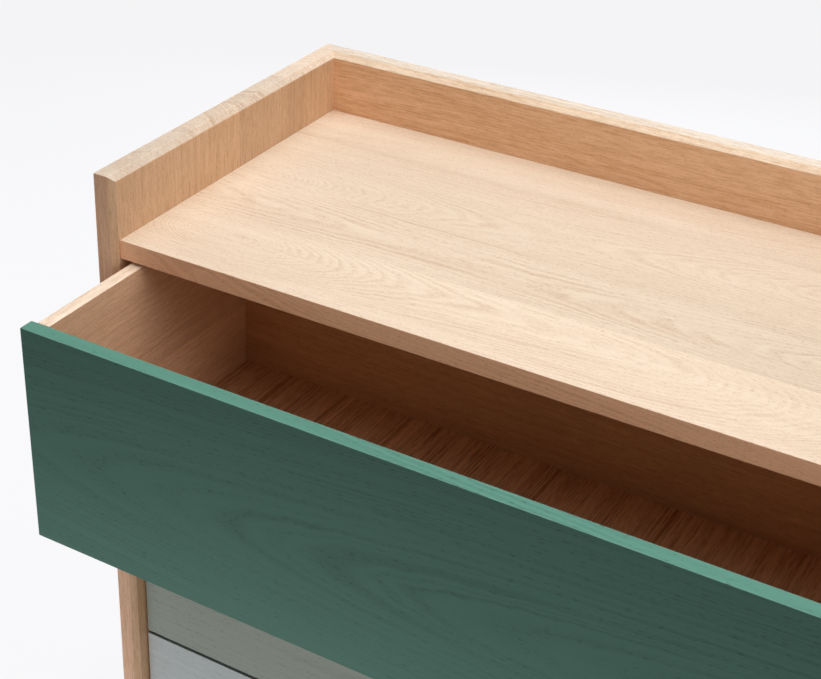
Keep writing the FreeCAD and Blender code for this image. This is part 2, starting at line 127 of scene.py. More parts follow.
def remap(tree, value, low, high, newLow=0.0, newHigh=1.0, kind="SMOOTHSTEP"):
    sockets = {"Value": value, "From Min": low, "From Max": high, "To Min": newLow, "To Max": newHigh}
    return addNode(tree, "MapRange", sockets, interpolation_type=kind).outputs[0]


def mixColour(tree, share, first, second, blend="MIX"):
    node = addNode(tree, "Mix", data_type="RGBA", blend_type=blend)
    for index, value in ((0, share), (6, first), (7, second)):
        plug(tree, node.inputs[index], value)
    return node.outputs[2]


def shadeColour(tree, colour, value, saturation=1.0):
    sockets = {"Color": colour, "Value": value, "Saturation": saturation}
    return addNode(tree, "HueSaturation", sockets).outputs[0]


def startGroup(name, inputs, outputs):
    tree = bpy.data.node_groups.new(name, "ShaderNodeTree")
    kinds = {"value": "NodeSocketFloat", "vector": "NodeSocketVector", "colour": "NodeSocketColor"}
    for way, sockets in (("INPUT", inputs), ("OUTPUT", outputs)):
        for label, kind in sockets.items():
            tree.interface.new_socket(name=label, in_out=way, socket_type=kinds[kind])
    return tree, addNode(tree, "NodeGroupInput").outputs, addNode(tree, "NodeGroupOutput").inputs


def placeGroup(tree, group, sockets):
    node = addNode(tree, "Group", node_tree=group)
    for key, value in sockets.items():
        plug(tree, node.inputs[key], value)
    return node.outputs


def startMaterial(name):
    material = bpy.data.materials.new(name)
    material.use_nodes = True
    return material, material.node_tree, material.node_tree.nodes["Principled BSDF"]


# wood: each board's mesh says where in the log its staves were cut

figureScales = {  # noise cells per metre along, across and through a board
    "sway": (2.6, 9, 9),
    "shiver": (34, 80, 80),
    "patches": (5, 26, 26),
    "pores": (250, 1400, 1400),
    "dashes": (130, 560, 560),
    "fibres": (8, 230, 230),
    "fineFibres": (55, 560, 560),
    "bands": (1.4, 46, 46),
    "wideBands": (1.1, 14, 14),
    "streaks": (10, 190, 190),
}
figureShape = {
    "shiver": 0.0034,  # metres that a ring strays
    "crowding": 50.0, "crowdSwing": 4.0,  # cells per metre, and the rings that they add or take
    "endWidening": 0.3,  # of the gap between rings, on end grain
    "ringPeak": 0.3, "ringEnd": 0.95,  # shares of a ring's gap
    "faintest": 0.3, "patchLimits": (0.36, 0.62),
    "poreLimits": (0.54, 0.72), "poresInRings": 0.6,
    "dashLimits": (0.58, 0.70), "dashesInRings": 0.85,
    "fineShare": 0.55, "fibreLimits": (0.3, 0.7),
    "bandShare": 0.55, "streakLimits": (0.73, 0.8),
}


def makeOakFigure():
    inputs = {"Ring Gap": "value", "Waver": "value"}
    outputs = {label: "value" for label in ("Rings", "Pores", "Dashes", "Fibres", "Tone", "Streaks")}
    tree, given, made = startGroup("oakFigure", inputs, outputs)
    spot = axes(tree, attribute(tree, "grainPlace", "Vector"))
    pith = axes(tree, attribute(tree, "stavePith", "Vector"))  # across, depth, sway
    curve = axes(tree, attribute(tree, "staveCurve", "Vector"))  # slope, bend, curl
    shift = attribute(tree, "staveShift")
    logPlace = addNode(tree, "CombineXYZ", {axis: maths(tree, "ADD", spot[axis], shift)
                                            for axis in range(3)}).outputs[0]

    def grainNoise(label, detail=2.0, output=0):
        stretched = vectorMaths(tree, "MULTIPLY", logPlace, figureScales[label])
        sockets = {"Vector": stretched, "Scale": 1.0, "Detail": detail}
        return addNode(tree, "TexNoise", sockets).outputs[output]

    sway = axes(tree, vectorMaths(tree, "SUBTRACT", grainNoise("sway", 1, 1), (0.5,) * 3))
    across = maths(tree, "SUBTRACT", spot[1], maths(tree, "MULTIPLY_ADD", spot[0], pith[2], pith[0]))
    across = maths(tree, "MULTIPLY_ADD", sway[0], given["Waver"], across)
    lift = maths(tree, "MULTIPLY_ADD", spot[0], curve[2], curve[1])
    lift = maths(tree, "MULTIPLY_ADD", spot[0], lift, curve[0])
    depth = maths(tree, "MULTIPLY_ADD", spot[0], lift, maths(tree, "SUBTRACT", spot[2], pith[1]))
    depth = maths(tree, "MULTIPLY_ADD", sway[1], given["Waver"], depth)
    square = maths(tree, "MULTIPLY", depth, depth)
    distance = maths(tree, "SQRT", maths(tree, "MULTIPLY_ADD", across, across, square))
    shiver = maths(tree, "SUBTRACT", grainNoise("shiver", 3), 0.5)
    radius = maths(tree, "MULTIPLY_ADD", shiver, figureShape["shiver"], distance)
    crowding = maths(tree, "MULTIPLY", radius, figureShape["crowding"])
    swing = addNode(tree, "TexNoise", {"W": crowding, "Scale": 1.0}, noise_dimensions="1D").outputs[0]
    wider = maths(tree, "MULTIPLY_ADD", attribute(tree, "endGrain"), figureShape["endWidening"], 1.0)
    gap = maths(tree, "MULTIPLY", given["Ring Gap"], wider)
    count = maths(tree, "DIVIDE", radius, gap)
    count = maths(tree, "MULTIPLY_ADD", swing, figureShape["crowdSwing"], count)
    share = maths(tree, "FRACT", count)
    strength = addNode(tree, "TexWhiteNoise", {"W": maths(tree, "FLOOR", count)},
                       noise_dimensions="1D").outputs[0]
    peak, faintest = figureShape["ringPeak"], figureShape["faintest"]
    fall = remap(tree, share, peak, figureShape["ringEnd"], 1.0, 0.0)
    line = maths(tree, "MULTIPLY", remap(tree, share, 0.0, peak), fall)
    patches = remap(tree, grainNoise("patches", 1), *figureShape["patchLimits"], faintest, 1.0)
    shown = maths(tree, "MULTIPLY", remap(tree, strength, 0, 1, faintest, 1.0, "LINEAR"), patches)
    plug(tree, made["Rings"], maths(tree, "MULTIPLY", line, shown))
    for label, limits, inRings in (("pores", "poreLimits", figureShape["poresInRings"]),
                                   ("dashes", "dashLimits", figureShape["dashesInRings"])):
        marks = remap(tree, grainNoise(label, 1), *figureShape[limits])
        present = maths(tree, "MULTIPLY_ADD", line, inRings, 1 - inRings)
        plug(tree, made[label.title()], maths(tree, "MULTIPLY", marks, present))
    fine, narrow = figureShape["fineShare"], figureShape["bandShare"]
    fibres = maths(tree, "MULTIPLY", grainNoise("fibres"), 1 - fine)
    fibres = maths(tree, "MULTIPLY_ADD", grainNoise("fineFibres", 1), fine, fibres)
    plug(tree, made["Fibres"], remap(tree, fibres, *figureShape["fibreLimits"], -0.5, 0.5, "LINEAR"))
    bands = maths(tree, "MULTIPLY", grainNoise("bands", 3), narrow)
    bands = maths(tree, "MULTIPLY_ADD", grainNoise("wideBands"), 1 - narrow, bands)
    plug(tree, made["Tone"], maths(tree, "SUBTRACT", bands, 0.5))
    plug(tree, made["Streaks"], remap(tree, grainNoise("streaks", 1), *figureShape["streakLimits"]))
    return tree


oilShape = {
    "startDepth": 0.2, "streaks": 0.3,  # from pale at 0 to deep at 1
    "endRings": 0.6, "endFibres": -0.35,  # added to their strengths on end grain
    "poreColour": (0.6, 0.42, 0.3, 1),
    "edgeValue": 1.06, "edgeSaturation": 0.92, "edgeRoughness": -0.05,
    "roughness": {"Fibres": 0.12, "Pores": 0.15},
    "height": {"Fibres": 0.35, "Rings": -0.3, "Pores": -0.35},
}
stainShape = {
    "value": {"Tone": 0.07, "Fibres": 0.07},
    "edgeValue": 1.15, "edgeSaturation": 0.9,
    "roughness": {"Fibres": 0.1, "Dashes": 0.12},
    "height": {"Fibres": 0.25, "Rings": -0.25, "Pores": -0.3, "Dashes": -0.45},
}


def addParts(tree, parts, shares, start):
    for label, share in shares.items():
        start = maths(tree, "MULTIPLY_ADD", parts[label], share, start)
    return start


def startWood(name, values, colours):
    inputs = dict(dict.fromkeys(values, "value"), **dict.fromkeys(colours, "colour"))
    outputs = {"Colour": "colour", "Roughness": "value", "Height": "value"}
    return startGroup(name, inputs, outputs)


def makeOiledOak(figure):
    values = ("Ring Gap", "Waver", "Ring Strength", "Fibre Strength", "Tone Strength", "Pore Strength",
              "Dash Strength", "Roughness")
    tree, given, made = startWood("oiledOak", values, ("Pale", "Deep", "End"))
    parts = placeGroup(tree, figure, {label: given[label] for label in ("Ring Gap", "Waver")})
    ending = attribute(tree, "endGrain")
    stave = axes(tree, attribute(tree, "staveTone", "Vector"))  # tone, lean along the board, figure
    moreRings = maths(tree, "MULTIPLY_ADD", ending, oilShape["endRings"], stave[2])
    fewerFibres = maths(tree, "MULTIPLY_ADD", ending, oilShape["endFibres"], 1.0)
    shares = {
        "Rings": maths(tree, "MULTIPLY", given["Ring Strength"], moreRings),
        "Fibres": maths(tree, "MULTIPLY", given["Fibre Strength"], fewerFibres),
        "Tone": given["Tone Strength"], "Dashes": given["Dash Strength"],
        "Streaks": oilShape["streaks"],
    }
    depth = addParts(tree, parts, shares, oilShape["startDepth"])
    along = mixColour(tree, depth, given["Pale"], given["Deep"])
    plain = mixColour(tree, ending, along, mixColour(tree, depth, given["End"], given["Deep"]))
    porous = mixColour(tree, 1.0, plain, oilShape["poreColour"], "MULTIPLY")
    pores = maths(tree, "MULTIPLY", parts["Pores"], given["Pore Strength"])
    plain = mixColour(tree, pores, plain, porous)
    # painted light and shade: multiplied by the tint that stands for how light falls on this face
    plain = mixColour(tree, 1.0, plain, attribute(tree, "cutTint", "Color"), "MULTIPLY")
    place = axes(tree, attribute(tree, "grainPlace", "Vector"))
    toned = shadeColour(tree, plain, maths(tree, "MULTIPLY_ADD", place[0], stave[1], stave[0]))
    eased = attribute(tree, "easedEdge")
    worn = shadeColour(tree, toned, oilShape["edgeValue"], oilShape["edgeSaturation"])
    plug(tree, made["Colour"], mixColour(tree, eased, toned, worn))
    rough = addParts(tree, parts, oilShape["roughness"], given["Roughness"])
    plug(tree, made["Roughness"], maths(tree, "MULTIPLY_ADD", eased, oilShape["edgeRoughness"], rough))
    plug(tree, made["Height"], addParts(tree, parts, oilShape["height"], 0.0))
    return tree


def makeStainedOak(figure):
    values = ("Ring Gap", "Waver", "Ring Strength", "Dash Strength", "Fade", "Roughness")
    tree, given, made = startWood("stainedOak", values, ("Stain",))
    parts = placeGroup(tree, figure, {label: given[label] for label in ("Ring Gap", "Waver")})
    height = axes(tree, attribute(tree, "grainPlace", "Vector"))[1]
    # painted shade and light: the stain is darker towards the top edge and lighter towards the bottom,
    # standing for light thrown up from the floor
    paintedShade = maths(tree, "MULTIPLY", height, given["Fade"])
    shares = {"Rings": given["Ring Strength"], "Dashes": given["Dash Strength"]}
    value = axes(tree, attribute(tree, "staveTone", "Vector"))[0]
    value = maths(tree, "SUBTRACT", value, addParts(tree, parts, shares, paintedShade))
    value = addParts(tree, parts, stainShape["value"], value)
    # painted light and shade: multiplied by the tint that stands for how light falls on this face
    tinted = mixColour(tree, 1.0, given["Stain"], attribute(tree, "cutTint", "Color"), "MULTIPLY")
    toned = shadeColour(tree, tinted, value)
    worn = shadeColour(tree, toned, stainShape["edgeValue"], stainShape["edgeSaturation"])
    plug(tree, made["Colour"], mixColour(tree, attribute(tree, "easedEdge"), toned, worn))
    plug(tree, made["Roughness"], addParts(tree, parts, stainShape["roughness"], given["Roughness"]))
    plug(tree, made["Height"], addParts(tree, parts, stainShape["height"], 0.0))
    return tree


def woodMaterial(name, group, look):
    material, tree, shader = startMaterial(name)
    sockets = {label: value for label, value in look.items() if label not in ("Relief", "Gloss")}
    parts = placeGroup(tree, group, sockets)
    bump = addNode(tree, "Bump", {"Height": parts["Height"], "Distance": look["Relief"], "Strength": 1.0})
    for label, value in (("Base Color", parts["Colour"]), ("Roughness", parts["Roughness"]),
                         ("Normal", bump.outputs[0]), ("Specular IOR Level", look["Gloss"])):
        plug(tree, shader.inputs[label], value)
    return material


def makeSpeckle():
    outputs = {"Cloud": "value", "Grain": "value"}
    inputs = {"Cloud Size": "value", "Grain Size": "value", "Stretch": "vector"}
    tree, given, made = startGroup("speckle", inputs, outputs)
    place = vectorMaths(tree, "MULTIPLY", addNode(tree, "TexCoord").outputs["Object"], given["Stretch"])
    for label, detail in (("Cloud", 3.0), ("Grain", 1.0)):
        scale = maths(tree, "DIVIDE", 1.0, given[f"{label} Size"])
        spots = addNode(tree, "TexNoise", {"Vector": place, "Scale": scale, "Detail": detail}).outputs[0]
        plug(tree, made[label], maths(tree, "SUBTRACT", spots, 0.5))
    return tree


grainShare = 0.5  # of a plain finish's variation


def plainMaterial(name, group, look):
    material, tree, shader = startMaterial(name)
    parts = placeGroup(tree, group, {"Cloud Size": look["cloud"], "Grain Size": look["grain"],
                                     "Stretch": look.get("stretch", (1, 1, 1))})
    value = maths(tree, "MULTIPLY_ADD", parts["Cloud"], look["variation"], 1.0)
    value = maths(tree, "MULTIPLY_ADD", parts["Grain"], look["variation"] * grainShare, value)
    rough = maths(tree, "MULTIPLY_ADD", parts["Cloud"], look["variation"], look["rough"])
    bump = addNode(tree, "Bump", {"Height": parts["Grain"], "Distance": look["relief"], "Strength": 1.0})
    for label, socket in (("Base Color", shadeColour(tree, look["colour"], value)), ("Roughness", rough),
                          ("Normal", bump.outputs[0]), ("Metallic", look.get("metal", 0.0))):
        plug(tree, shader.inputs[label], socket)
    return material


# boards

meshShape = {
    "merge": 1e-6, "cutMerge": 1e-7, "flatAngle": 0.2,  # metres and degrees
    "sharpAngle": 25, "smoothAngle": 35, "shortestEdge": 0.003, "bevelSegments": 2,
    # tintSlant picks the faces that take a painted light or shade tint
    "endSlant": 0.6, "tintSlant": 0.8,  # how squarely a face looks along its grain or at its tint
    "mitreSlack": 0.01,
    "shifts": (2, 40), "curve": (0.01, 0.0, 0.0),  # metres, and a stave's curve where it names none
}


def cleanCopy(nodeName):
    mesh = bmesh.new()
    mesh.from_mesh(nodes[nodeName].data)
    bmesh.ops.remove_doubles(mesh, verts=mesh.verts, dist=meshShape["merge"])
    flat = math.radians(meshShape["flatAngle"])
    bmesh.ops.dissolve_limit(mesh, angle_limit=flat, verts=mesh.verts, edges=mesh.edges)
    return mesh


def isMitre(face):
    slack = meshShape["mitreSlack"]
    return abs(abs(face.normal.x) - abs(face.normal.y)) < slack and abs(face.normal.z) < slack


def easeEdges(mesh, width, shortest=meshShape["shortestEdge"]):
    eased = mesh.faces.layers.float.new("easedEdge")
    turn = math.radians(meshShape["sharpAngle"])
    sharp = [edge for edge in mesh.edges
             if len(edge.link_faces) == 2 and edge.is_convex and edge.calc_length() > shortest
             and edge.calc_face_angle() > turn and not any(map(isMitre, edge.link_faces))]
    made = bmesh.ops.bevel(mesh, geom=sharp, offset=width, offset_type="OFFSET", profile=0.5,
                           segments=meshShape["bevelSegments"], affect="EDGES", clamp_overlap=True)
    for face in made["faces"]:
        face[eased] = 1.0


def markGrain(mesh, board, low, high):
    along, across, through = ["xyz".index(letter) for letter in board["grain"]]
    middle = (low + high) / 2
    edges = [low[across]]
    for stave in board["staves"][:-1]:
        edges.append(edges[-1] + stave["width"])
        cut = Vector(edges[-1] if axis == across else 0.0 for axis in range(3))
        normal = Vector(float(axis == across) for axis in range(3))
        bmesh.ops.bisect_plane(mesh, geom=mesh.verts[:] + mesh.edges[:] + mesh.faces[:],
                               dist=meshShape["cutMerge"], plane_co=cut, plane_no=normal)
    place = mesh.verts.layers.float_vector.new("grainPlace")
    for vert in mesh.verts:
        offset = vert.co - middle
        vert[place] = (offset[along], offset[across], offset[through])
    layers = mesh.faces.layers
    pith, curve, tone, tint = [layers.float_vector.new(name)
                               for name in ("stavePith", "staveCurve", "staveTone", "cutTint")]
    shift, ends = [layers.float.new(name) for name in ("staveShift", "endGrain")]
    draw = random.Random(board["seed"])
    shifts = [draw.uniform(*meshShape["shifts"]) for stave in board["staves"]]
    for face in mesh.faces:
        at = face.calc_center_median()[across]
        index = max(number for number, edge in enumerate(edges) if number == 0 or at > edge)
        stave = board["staves"][index]
        face[pith] = stave["pith"]
        face[curve] = stave.get("curve", meshShape["curve"])
        face[ends] = float(abs(face.normal[along]) > meshShape["endSlant"])
        shade = stave.get("endTone" if face[ends] else "tone", 1.0)
        face[tone] = (shade, stave.get("lean", 0.0), stave.get("figure", 1.0))
        face[shift] = shifts[index]
        # painted light and shade: faces turned a listed way get a tint standing for how light falls on
        # them
        tints = [colour for way, colour in board.get("tints", {}).items()
                 if face.normal.dot(Vector(way)) > meshShape["tintSlant"]]
        face[tint] = tints[0] if tints else (1.0, 1.0, 1.0)


def finishPiece(mesh, name, material):
    mesh.normal_update()
    for face in mesh.faces:
        face.smooth = True
    for edge in mesh.edges:
        edge.smooth = edge.calc_face_angle(0.0) < math.radians(meshShape["smoothAngle"])
    data = bpy.data.meshes.new(name)
    mesh.to_mesh(data)
    mesh.free()
    piece = bpy.data.objects.new(name, data)
    bpy.context.scene.collection.objects.link(piece)
    data.materials.append(material)
    piece.modifiers.new("evenShading", "WEIGHTED_NORMAL").keep_sharp = True
    return piece


def dressBoard(nodeName, name, body, material, board):
    mesh = cleanCopy(nodeName)
    low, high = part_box(nodeName)
    easeEdges(mesh, board["ease"])
    markGrain(mesh, board, low, high)
    piece = finishPiece(mesh, name, material)
    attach(piece, body)
    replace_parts(piece, nodeName)


print("finishes: wood, steel and plastic")
oakFigure = makeOakFigure()
oiledOak = makeOiledOak(oakFigure)
stainedOak = makeStainedOak(oakFigure)
speckle = makeSpeckle()

topLook = {
    "Pale": (0.885, 0.735, 0.575, 1), "Deep": (0.60, 0.40, 0.25, 1), "End": (0.76, 0.64, 0.52, 1),
    "Ring Gap": 0.0028, "Waver": 0.014, "Ring Strength": 0.36, "Fibre Strength": 0.26,
    "Tone Strength": 0.7, "Pore Strength": 0.55, "Dash Strength": 0.16,
    "Roughness": 0.5, "Relief": 0.00004, "Gloss": 0.35,
}
# painted shade: this darker, more saturated copy of the top's oak, used for the sides and plinth, stands
# for the shade on their faces
sideLook = dict(topLook, **{
    "Pale": (0.64, 0.41, 0.25, 1), "Deep": (0.39, 0.205, 0.086, 1), "Ring Gap": 0.0026,
    "Ring Strength": 0.26, "Fibre Strength": 0.6,
})
# painted shade: the rail's oak is a darker, more saturated copy of the top's, standing for the shade on
# its face
railLook = dict(topLook, **{
    "Pale": (0.79, 0.485, 0.285, 1), "Deep": (0.52, 0.235, 0.09, 1), "Ring Strength": 0.24,
    "Fibre Strength": 0.85, "Tone Strength": 0.5,
})
boxLook = dict(topLook, **{
    "Pale": (0.93, 0.60, 0.385, 1), "Deep": (0.55, 0.262, 0.125, 1), "Fibre Strength": 0.55, "Gloss": 0.5,
    "Roughness": 0.42,
})
# painted shade: the drawer back is a darker copy of the drawer sides' oak, standing for the shade at the
# back of the drawer
boxBackLook = dict(boxLook, **{"Pale": (0.74, 0.39, 0.205, 1), "Deep": (0.42, 0.185, 0.083, 1)})
floorLook = dict(boxLook, **{
    "Pale": (0.80, 0.48, 0.28, 1), "Deep": (0.36, 0.155, 0.065, 1), "Ring Gap": 0.0055,
    "Ring Strength": 0.9, "Fibre Strength": 0.8, "Tone Strength": 0.5,
})
plyLook = dict(topLook, **{"Pale": (0.84, 0.60, 0.40, 1), "Deep": (0.53, 0.33, 0.185, 1)})

oakTop = woodMaterial("oakTop", oiledOak, topLook)
oakSide = woodMaterial("oakSide", oiledOak, sideLook)
oakRail = woodMaterial("oakRail", oiledOak, railLook)
oakBox = woodMaterial("oakDrawerSide", oiledOak, boxLook)
oakBoxBack = woodMaterial("oakDrawerBack", oiledOak, boxBackLook)
oakFloor = woodMaterial("oakDrawerFloor", oiledOak, floorLook)
oakPly = woodMaterial("oakPly", oiledOak, plyLook)

stains = {
    # each front's slope value darkens the stain towards its top and lightens it towards the bottom:
    # painted shade and light
    1: {"Stain": (0.079, 0.178, 0.141, 1), "Fade": 1.7},  # green
    2: {"Stain": (0.33, 0.37, 0.325, 1), "Fade": 0.4},  # grey green
    3: {"Stain": (0.57, 0.615, 0.62, 1), "Fade": 0.3},  # pale grey
    4: {"Stain": (0.71, 0.73, 0.715, 1), "Fade": 0.2},  # paler grey
}
stainLook = {"Ring Gap": 0.0052, "Waver": 0.010, "Ring Strength": 0.16, "Dash Strength": 0.24,
             "Roughness": 0.5, "Relief": 0.00007, "Gloss": 0.08}

steelLook = {"colour": (0.56, 0.57, 0.585, 1), "metal": 1.0, "rough": 0.36, "cloud": 0.03,
             "grain": 0.0005, "variation": 0.16, "relief": 0.000012, "stretch": (1, 0.04, 1)}
screwLook = dict(steelLook, colour=(0.60, 0.59, 0.55, 1), rough=0.28, cloud=0.004, stretch=(1, 1, 1))
latchLook = {"colour": (0.32, 0.32, 0.31, 1), "rough": 0.46, "cloud": 0.01, "grain": 0.0007,
             "variation": 0.08, "relief": 0.00002}
plungerLook = dict(latchLook, colour=(0.62, 0.62, 0.60, 1), rough=0.38)
glideLook = dict(latchLook, colour=(0.075, 0.055, 0.045, 1), rough=0.55)
dowelLook = {"colour": (0.66, 0.48, 0.32, 1), "rough": 0.6, "cloud": 0.01, "grain": 0.0006,
             "variation": 0.16, "relief": 0.00004, "stretch": (0.2, 0.2, 1)}
steel = plainMaterial("zincSteel", speckle, steelLook)
screwSteel = plainMaterial("screwSteel", speckle, screwLook)
latchPlastic = plainMaterial("latchPlastic", speckle, latchLook)
plungerPlastic = plainMaterial("plungerPlastic", speckle, plungerLook)
glidePlastic = plainMaterial("glidePlastic", speckle, glideLook)
beech = plainMaterial("beech", speckle, dowelLook)


print("carcass: boards")
up, front, slope = (0, 0, 1), (0, -1, 0), (0, -0.707, 0.707)
# a stave's pith lies across from and behind the board's middle, and sways; its curve is slope, bend and
# curl; lean darkens it along the board, and figure strengthens its rings
sideStaves = [
    {"width": 0.092, "pith": (-0.36, 0.20, 0.0), "tone": 1.06, "endTone": 1.0, "figure": 0.6},
    {"width": 0.060, "pith": (-0.30, 0.15, 0.0), "tone": 1.08, "endTone": 1.02, "figure": 0.7},
    {"width": 0.084, "pith": (0.20, 0.14, 0.0), "tone": 1.12, "endTone": 1.10},
    {"width": 0.104, "pith": (0.26, -0.16, 0.01), "tone": 1.03, "endTone": 1.06},
    {"width": 0.035, "pith": (0.30, 0.12, 0.0), "tone": 1.0, "endTone": 1.16},
    {"width": 0.095, "pith": (-0.18, 0.16, 0.0), "tone": 1.07, "endTone": 1.25},
]
sideBoard = {
    "name": "sideLeft", "grain": "zyx", "seed": 3, "ease": 0.0007, "look": oakSide,
    # painted light: the sides' front faces are tinted lighter
    "staves": sideStaves, "tints": {front: (1.20, 1.13, 1.20)},
}
carcassBoards = {
    "side_left": sideBoard,
    "side_right": dict(sideBoard, name="sideRight", seed=8),
    "top_panel": {
        "name": "topPanel", "grain": "xyz", "seed": 5, "ease": 0.0006, "look": oakTop,
        # painted shade: the top's front edge is tinted a deeper, warmer brown, standing for warm shade on
        # it
        "tints": {front: (1.19, 0.82, 0.645)},
        "staves": [
            {"width": 0.114, "pith": (-0.144, -0.06, 0.0), "curve": (0.05, -0.02, 1.0), "tone": 1.02,
             "figure": 0.9},
            {"width": 0.114, "pith": (-0.054, -0.05, 0.0), "curve": (-0.03, -0.1, 0.0), "tone": 0.955,
             "lean": -0.17, "figure": 1.15},
            {"width": 0.122, "pith": (0.06, -0.055, 0.12), "curve": (-0.05, -0.3, 0.5), "tone": 0.965,
             "lean": -0.06, "figure": 0.8},
            {"width": 0.088, "pith": (0.30, -0.04, 0.19), "tone": 0.93, "lean": -0.10, "figure": 0.9},
        ],
    },
    "bottom_panel": {
        "name": "bottomPanel", "grain": "xyz", "seed": 6, "ease": 0.0006, "look": oakTop,
        "staves": [
            {"width": 0.110, "pith": (0.20, -0.06, 0.0), "curve": (0.02, 0.0, 0.0)},
            {"width": 0.110, "pith": (-0.06, -0.08, 0.0), "curve": (0.05, 0.1, 0.0), "tone": 0.97},
            {"width": 0.120, "pith": (0.03, -0.06, 0.02), "curve": (0.06, 0.0, 0.0), "tone": 1.02},
            {"width": 0.110, "pith": (0.30, 0.10, 0.0), "tone": 0.98},
        ],
    },
    "back_rail": {
        "name": "backRail", "grain": "xzy", "seed": 7, "ease": 0.0007, "look": oakRail,
        # painted highlight: the rail's top and its slope are tinted paler
        "tints": {up: (1.04, 1.48, 2.1), slope: (1.13, 1.45, 1.82)},
        "staves": [{"width": 0.125, "pith": (-0.30, 0.06, 0.01)}],
    },
    "back_panel": {
        "name": "backPanel", "grain": "zxy", "seed": 9, "ease": 0.0004, "look": oakPly,
        "staves": [
            {"width": 0.150, "pith": (-0.40, -0.12, 0.01), "curve": (0.02, 0.01, 0.0), "tone": 0.98},
            {"width": 0.140, "pith": (-0.06, -0.16, 0.0), "tone": 1.01},
            {"width": 0.170, "pith": (-0.07, -0.09, 0.02), "curve": (-0.03, 0.03, 0.0), "tone": 0.96},
            {"width": 0.135, "pith": (0.30, -0.10, 0.0), "curve": (0.01, 0.0, 0.0), "tone": 1.0},
            {"width": 0.165, "pith": (0.22, -0.11, -0.01), "curve": (0.04, -0.02, 0.0), "tone": 0.99},
            {"width": 0.142, "pith": (0.62, -0.08, 0.0), "tone": 0.97},
        ],
    },
    "plinth_front": {
        "name": "plinthFront", "grain": "xzy", "seed": 10, "ease": 0.0006, "look": oakSide,
        "staves": [{"width": 0.055, "pith": (0.20, 0.08, 0.0), "tone": 0.95}],
    },
    "plinth_back": {
        "name": "plinthBack", "grain": "xzy", "seed": 11, "ease": 0.0006, "look": oakSide,
        "staves": [{"width": 0.055, "pith": (0.02, 0.08, 0.0), "curve": (0.02, 0.0, 0.0), "tone": 0.97}],
    },
    "plinth_brace": {
        "name": "plinthBrace", "grain": "yzx", "seed": 12, "ease": 0.0006, "look": oakSide,
        "staves": [{"width": 0.055, "pith": (0.30, 0.02, 0.0), "tone": 0.95}],
    },
}
for nodeName, board in carcassBoards.items():
    dressBoard(nodeName, board["name"], "carcass", board["look"], board)


print("drawers: fronts and boxes")
frontStaves = {
    1: {"width": 0.26, "pith": (-0.005, 0.066, 0.0), "curve": (0.075, 0.0, 0.0)},
    2: {"width": 0.26, "pith": (0.05, 0.08, 0.0), "curve": (0.05, 0.03, 0.0)},
    3: {"width": 0.26, "pith": (-0.03, 0.07, 0.0), "curve": (-0.06, 0.04, 0.0)},
    4: {"width": 0.26, "pith": (0.02, 0.09, 0.0), "curve": (0.06, 0.02, 0.0)},
}
frontBoard = {"grain": "xzy", "ease": 0.0010}
boxBoards = {
    "side_left": {
        "name": "SideLeft", "grain": "yzx", "ease": 0.0007, "seed": 30, "look": oakBox,
        # painted highlight: the top edges of the drawer sides are tinted paler
        "tints": {up: (1.16, 1.5, 1.85)}, "staves": [
            {"width": 0.106, "pith": (0.26, 0.05, 0.0), "tone": 1.04},
            {"width": 0.132, "pith": (-0.26, 0.07, 0.01), "curve": (0.02, 0.02, 0.0), "tone": 0.96}],
    },
    "back": {
        "name": "Back", "grain": "xzy", "ease": 0.0007, "seed": 50, "look": oakBoxBack,
        # painted highlight: the top edge of the drawer back is tinted paler
        "tints": {up: (1.2, 1.6, 2.0)}, "staves": [
            {"width": 0.12, "pith": (0.28, -0.06, 0.0)},
            {"width": 0.118, "pith": (-0.28, -0.06, 0.0), "curve": (0.008, 0.0, 0.0), "tone": 0.97}],
    },
    "floor": {
        "name": "Floor", "grain": "yxz", "ease": 0.0003, "seed": 60, "look": oakFloor, "staves": [
            {"width": 0.145, "pith": (0.5 * (-1) ** index, 0.05, 0.0), "tone": 1.0 + 0.03 * (index % 2)}
            for index in range(6)],
    },
}
boxBoards["side_right"] = dict(boxBoards["side_left"], name="SideRight", seed=40)

for level in drawerLevels:
    body, start = f"drawer_{level}", f"drawer_{level}_"
    stained = woodMaterial(f"stainedFront{level}", stainedOak, dict(stainLook, **stains[level]))
    board = dict(frontBoard, seed=20 + level, staves=[frontStaves[level]])
    # painted highlight on the top edge of drawer 1's front; painted shade on the top edges of the other
    # fronts, in the gaps between them
    board["tints"] = {up: (1.82, 2.03, 1.98) if level == 1 else (0.5, 0.5, 0.5)}
    dressBoard(start + "front", f"drawer{level}Front", body, stained, board)
    for nodeEnd, board in boxBoards.items():
        dressBoard(start + nodeEnd, f"drawer{level}{board['name']}", body, board["look"],
                   dict(board, seed=board["seed"] + level))


print("fittings: runners, latches, screws, dowels and glides")
fittings = {
    "latch_plunger": {"ease": 0.0008, "slot": "latch_plastic", "look": plungerPlastic},
    "latch_housings": {"ease": 0.0006, "slot": "latch_plastic", "look": latchPlastic},
    "foot_glides": {"ease": 0.0012, "slot": "glide_plastic", "look": glidePlastic},
    "runner_screws": {"crown": 0.0005, "slot": "screw_steel", "look": screwSteel},
    "panel_screws": {"crown": 0.0, "slot": "screw_steel", "look": screwSteel},
    "runner": {"ease": 0.00045, "slot": "runner_steel", "look": steel},
    "dowels": {"ease": 0.0010, "slot": "beech_dowel", "look": beech},
}
crossRecess = {"reach": 0.0021, "halfWidth": 0.0005, "depth": 0.0010, "taper": 0.6}
screwShape = {
    "onAxis": 0.0005,  # closer to the axis than this isn't the shank
    "headShare": 0.9, "rim": 0.0005,
    "flat": 0.78, "shoulder": 0.94, "shoulderDrop": 0.5,  # shares of the head's radius and crown
    "tip": 0.0002, "tipLength": 0.002,
}


def crossRadius(angle):
    turn = abs((angle + math.pi / 4) % (math.pi / 2) - math.pi / 4)  # from the nearest arm
    reach, halfWidth = crossRecess["reach"], crossRecess["halfWidth"]
    return min(reach / math.cos(turn), halfWidth / max(math.sin(turn), 1e-6))


